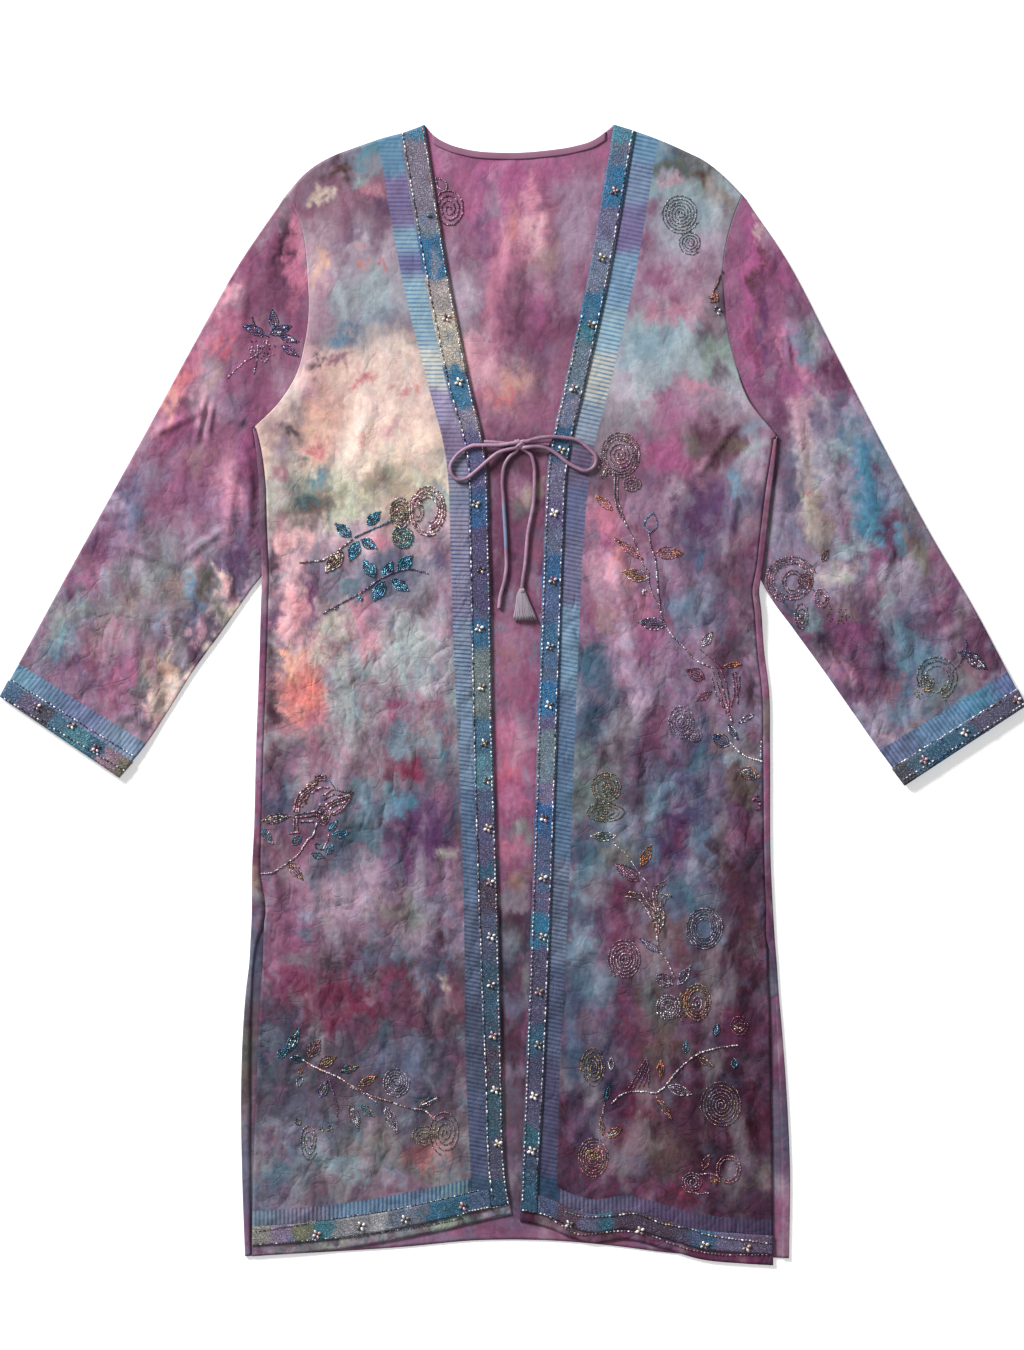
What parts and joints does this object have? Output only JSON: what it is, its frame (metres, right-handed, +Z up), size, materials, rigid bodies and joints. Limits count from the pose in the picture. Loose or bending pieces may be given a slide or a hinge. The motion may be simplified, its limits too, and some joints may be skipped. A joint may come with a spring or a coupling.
{
  "type": "kimono robe",
  "caption": "Long open-front kimono robe of dyed silk, laid flat, with embroidered bands on its front edges, hem and cuffs, side slits, and a tasselled tie in a bow.",
  "frame": {"origin": "on the surface that the robe lies on, under the middle of its bounding box", "axes": "+Y from hem to neck, +X towards the wearer's left side, +Z up from the surface, on the side of the front panels"},
  "size_m": [1.0264, 1.14, 0.0095],
  "materials": {
    "dyed_silk": "soft satin silk, tie-dyed mauve, aqua, grey and cream",
    "plain_silk": "mauve silk",
    "embroidered_band": "dense teal and grey-violet thread embroidery",
    "tassel_floss": "lilac grey floss",
    "seed_beads": "small glass and pearl beads"
  },
  "bodies": {
    "root": {"back": "dyed_silk", "front_right": "dyed_silk", "front_left": "dyed_silk", "sleeve_right": "dyed_silk", "sleeve_left": "dyed_silk", "neck_binding": "plain_silk", "front_band_right": "embroidered_band", "front_band_left": "embroidered_band", "hem_band_right": "embroidered_band", "hem_band_left": "embroidered_band", "cuff_right": "embroidered_band", "cuff_left": "embroidered_band", "tie_right_lead": "plain_silk", "tie_right_loop": "plain_silk", "tie_right_tail": "plain_silk", "tie_left_lead": "plain_silk", "tie_left_loop": "plain_silk", "tie_left_tail": "plain_silk", "tie_knot": "plain_silk", "tassel": "tassel_floss"}
  },
  "joints": []
}
